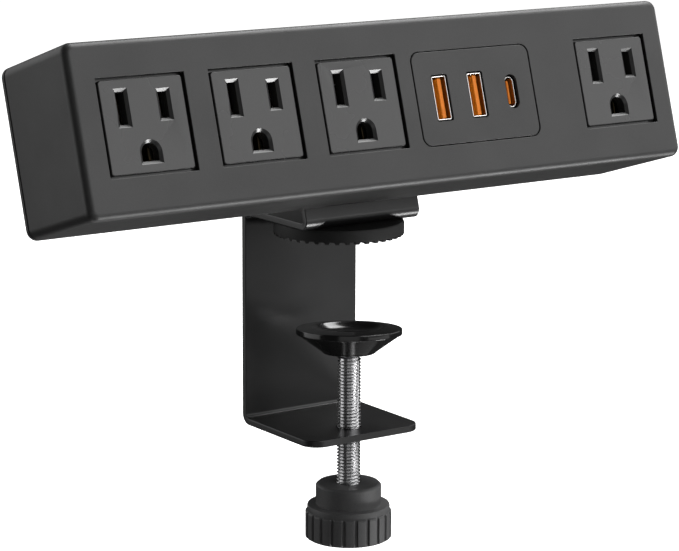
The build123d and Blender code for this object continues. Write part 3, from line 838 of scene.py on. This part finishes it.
def knob(material):
    """The ribbed knob with its smooth hub, hollow below for the cap."""
    low, high = node_mm("knob")
    y = (low.y + high.y) / 2
    top = high.z
    bottom = low.z
    flange = top - HUB_HEIGHT
    rib_top = flange - RIB_DROP
    grip = GRIP_RADIUS
    hub = HUB_RADIUS
    profile = [(7.5, bottom + CAP_POCKET), (7.5, bottom)]
    profile += [(grip - 0.7, bottom), (grip - 0.2, bottom + 0.15)]
    first_rib = len(profile)
    profile += [(grip, bottom + height) for height in (0.45, 0.6, 1.0)]
    profile += [(grip, rib_top - 0.5), (grip, rib_top - 0.15)]
    last_rib = len(profile) - 1
    profile += [(grip, rib_top), (grip, flange - 0.55), (grip - 0.15, flange - 0.15)]
    profile += [(grip - 0.55, flange), (hub + 0.3, flange), (hub + 0.06, flange + 0.08)]
    profile += [(hub, flange + 0.3), (hub, top - 0.75), (hub - 0.1, top - 0.6)]
    profile += [(hub - 0.65, top - 0.05), (hub - 0.8, top), (3.6, top)]
    profile += [(SCREW_RADIUS, top - SCREW_SOCKET)]
    profile += [(AXIS_RADIUS, top - SCREW_SOCKET), (AXIS_RADIUS, bottom + CAP_POCKET)]

    def ribbed(row, angle, r, z):
        if not first_rib <= row <= last_rib:
            return r, z
        phase = (angle * RIBS / (2 * math.pi)) % 1.0
        lift = min(max((0.40 - abs(phase - 0.5)) / 0.07, 0), 1) ** 0.6
        ends = 0.5 if row in (first_rib, last_rib) else 1.0
        return r + (RIB_RADIUS - GRIP_RADIUS) * lift * ends, z

    ribbed_knob = loft("knob_moulded", lathe_rings(profile, RIBS * 24, 0, y, ribbed), loop=True)
    finish_edges(ribbed_knob, 0, angle=35)
    return register(ribbed_knob, "screw_and_knob", "knob_plastic", material, "knob")


def knob_cap(material):
    """The cap in the knob's lower face, with a shallow recess."""
    low, high = node_mm("knob_cap")
    y = (low.y + high.y) / 2
    radius = high.x
    wall = radius - 0.03
    profile = [(AXIS_RADIUS, high.z), (wall, high.z), (wall, low.z + 0.3), (radius - 0.3, low.z)]
    profile += [(radius - 1.6, low.z), (radius - 1.8, low.z + 0.25), (AXIS_RADIUS, low.z + 0.25)]
    cap = loft("knob_cap_moulded", lathe_rings(profile, 96, 0, y))
    finish_edges(cap, 0, angle=35)
    return register(cap, "screw_and_knob", "knob_plastic", material, "knob_cap")


# ---------------------------------------------------------------- assembly


def dress_hidden_nodes():
    """Materials for the inner CAD pieces, which keep their own shapes."""
    # contact_brass has the hue of brass but is painted far darker than bright brass: painted shade,
    # so the contacts read black deep inside the plug holes
    brass_painted_dark = metal("contact_brass", (0.11, 0.085, 0.05), 0.5)
    steel = metal("zinc_steel", (0.62, 0.63, 0.65), 0.3)
    cream = moulded("carrier_cream", (0.50, 0.49, 0.45), 0.5, 2.0)
    finishes = {
        "usb_circuit_board": board_green(),
        "usb_capacitors": metal("can_aluminium", (0.6, 0.61, 0.63), 0.25),
        "usb_transformer": wound_copper(),
        "usb_controller_chip": moulded("chip_black", (0.02, 0.02, 0.02), 0.4, 4.0),
        "usb_supply_pins": brass_painted_dark,
        "neutral_strip": brass_painted_dark,
        "line_strip": brass_painted_dark,
        "ground_strip": brass_painted_dark,
        "contact_carrier": cream,
        "terminal_block": cream,
        "carrier_screws": steel,
        "terminal_screws": steel,
        "swivel_stud": steel,
        "neutral_lead": moulded("insulation_white", (0.75, 0.75, 0.72), 0.4, 1.0, 0.01),
        "line_lead": moulded("insulation_black", (0.02, 0.02, 0.02), 0.4, 1.0, 0.01),
        "ground_lead": moulded("insulation_green", (0.03, 0.25, 0.06), 0.4, 1.0, 0.01),
    }
    for node, material in finishes.items():
        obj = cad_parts[node]
        obj.data.materials.clear()
        obj.data.materials.append(material)


def build_body():
    """Make the leaning body's visible pieces; the black oxide is shared with the clamp."""
    housing = moulded("housing_abs", (0.020, 0.020, 0.020), 0.47, 2.6, 0.025)
    outlet = moulded("outlet_nylon", (0.034, 0.034, 0.034), 0.26, 4.0, 0.005, 0.08)
    nickel = metal("nickel_plate", (0.80, 0.78, 0.76), 0.18)
    orange = moulded("orange_moulding", (0.88, 0.24, 0.012), 0.45, 3.0, 0.01, 0.06, 0.25)
    rubber = moulded("bushing_black", (0.02, 0.02, 0.02), 0.6, 3.0, 0.03)
    oxide = metal("black_oxide", (0.035, 0.035, 0.038), 0.38)
    front_housing(housing)
    rear_cover(housing)
    for number, u in enumerate(OUTLET_US, 1):
        outlet_insert(number, u, outlet)
    usb_panel(housing)
    for number, u in enumerate(USB_A_US, 1):
        port_shell(f"usb_a_shell_{number}", u, USB_A_SIZE, 0.5, USB_A_RECESS, nickel)
        tongue_u = u + USB_A_TONGUE_OFFSET
        tongue_w = USB_A_RECESS + 0.8
        port_tongue(f"usb_a_tongue_{number}", tongue_u, USB_A_TONGUE, tongue_w, 0.3, orange)
    port_shell("usb_c_shell", USB_C_U, USB_C_SIZE, 1.55, USB_C_RECESS, nickel)
    port_tongue("usb_c_tongue", USB_C_U, USB_C_TONGUE, USB_C_RECESS + 0.8, 0.2, orange)
    inlet_bushing(rubber)
    small = recessed_screw("cover_screw", 1.5, 2.5, 1.2, 9.0, 0.75)
    places = [behind_body(u, v, DEPTH) for u in COVER_SCREW_US for v in BOSS_VS]
    screws("rear_cover_screws", places, small, oxide)
    large = recessed_screw("bracket_screw", 2.2, 3.6, 1.9, 9.0, 0.7)
    places = []
    for x in BRACKET_SCREW_XS:
        for height in BRACKET_SCREW_HEIGHTS:
            u = x + LENGTH / 2 - BODY.translation.x / MM
            places.append(behind_body(u, HEIGHT - height, DEPTH + SHEET))
    screws("bracket_screws", places, large, oxide)
    return oxide


def build_clamp(oxide):
    """Make the clamp's visible pieces."""
    coat = powder_coat()
    knob_plastic = moulded("knob_black", (0.058, 0.058, 0.059), 0.52, 2.4, 0.03, 0.10)
    plated = metal("bright_zinc", (0.88, 0.88, 0.89), 0.2, 2.5, 0.002)
    clamp_bracket(coat)
    press_nut(coat)
    grip_disc(moulded("grip_black", (0.008, 0.008, 0.008), 0.6, 2.5, 0.03, 0.1, 0.3))
    top = node_mm("grip_disc")[1].z + SHEET
    disc_head = recessed_screw("disc_screw", 1.9, 4.0, 2.0, 4.4, 0.6)
    screws("disc_screw", [WORLD @ Matrix.Translation(Vector((0, 0, top)))], disc_head, oxide)
    clamp_screw(plated)
    pressure_pad(gloss_black())
    knob(knob_plastic)
    knob_cap(knob_plastic)


# ---------------------------------------------------------------- studio

CAMERA_PLACE = Vector((-441.9, -639.2, 147.7)) * MM
CAMERA_HEADING = math.radians(-34.675)
CAMERA_DROP = math.radians(11.665)
CAMERA_ROLL = math.radians(0.2)
CAMERA_LENS = 142.98
STUDIO_AIM = Vector((0, -20, 20)) * MM
FLOOR_BELOW = 23.0
FLOOR_RADIUS = 6000


def camera():
    """The camera, at the viewing angle and distance of the reference view."""
    data = bpy.data.cameras.new("camera")
    data.sensor_width = 36.0
    data.lens = CAMERA_LENS
    obj = bpy.data.objects.new("camera", data)
    heading = Matrix.Rotation(CAMERA_HEADING, 4, "Z")
    tilt = Matrix.Rotation(math.pi / 2 - CAMERA_DROP, 4, "X")
    roll = Matrix.Rotation(CAMERA_ROLL, 4, "Z")
    obj.matrix_world = Matrix.Translation(CAMERA_PLACE) @ heading @ tilt @ roll
    bpy.context.scene.collection.objects.link(obj)
    bpy.context.scene.camera = obj


def softbox(name, toward, distance, width, height, radiance):
    """An area light seen from the part in one direction, by size in metres and brightness."""
    data = bpy.data.lights.new(name, "AREA")
    data.shape = "RECTANGLE"
    data.size = width
    data.size_y = height
    data.energy = radiance * math.pi * width * height
    obj = bpy.data.objects.new(name, data)
    direction = Vector(toward).normalized()
    turn = direction.to_track_quat("Z", "Y").to_matrix().to_4x4()
    obj.matrix_world = Matrix.Translation(STUDIO_AIM + direction * distance) @ turn
    bpy.context.scene.collection.objects.link(obj)


def floor():
    """A plain white floor, clear of the knob at its lowest; it throws no light back."""
    bm = bmesh.new()
    bmesh.ops.create_circle(bm, cap_ends=True, segments=96, radius=FLOOR_RADIUS)
    place = Matrix.Translation(Vector((0, 0, cad_low.z / MM - FLOOR_BELOW)))
    obj = new_object("floor", bm, WORLD @ place)
    nodes = Nodes("floor_white")
    nodes.set(Roughness=0.9, Specular_IOR_Level=0.1)
    nodes.set(Emission_Color=(1, 1, 1, 1), Emission_Strength=0.9)
    tone = nodes.blend(nodes.noise(0.002), (0.88, 0.88, 0.88), (0.9, 0.9, 0.9))
    obj.data.materials.append(nodes.done(tone))
    obj.visible_diffuse = False
    obj.visible_glossy = False
    obj.visible_shadow = False


def world_light():
    """A dim even surround; the softboxes do the lighting."""
    world = bpy.data.worlds.new("studio")
    world.use_nodes = True
    background = world.node_tree.nodes["Background"]
    background.inputs["Color"].default_value = (1, 1, 1, 1)
    background.inputs["Strength"].default_value = 0.03
    bpy.context.scene.world = world


def studio():
    """Camera, floor and softboxes."""
    bpy.context.scene.view_settings.view_transform = "Standard"
    world_light()
    floor()
    camera()
    softbox("key", (0.43, -0.83, 0.40), 1.3, 1.75, 1.1, 2.05)
    softbox("front_low", (0.556, -0.806, -0.22), 1.4, 1.4, 0.3, 0.8)
    softbox("camera_fill", (-0.556, -0.806, -0.05), 1.5, 1.2, 0.9, 0.45)
    softbox("left_side", (-0.80, 0.56, 0.10), 1.0, 0.9, 0.9, 1.0)
    softbox("back_fill", (-0.30, 0.90, 0.35), 1.2, 1.0, 0.8, 0.9)
    softbox("right_rim", (0.97, -0.10, 0.15), 1.0, 0.8, 0.6, 1.1)
    softbox("top", (0.54, 0.12, 0.83), 1.1, 0.9, 0.7, 7.5)
    softbox("under", (0.556, -0.46, -0.69), 1.2, 0.50, 0.28, 23.0)
    softbox("below", (0.10, 0.15, -1.0), 1.2, 1.0, 1.0, 1.3)


dress_hidden_nodes()
build_clamp(build_body())
studio()
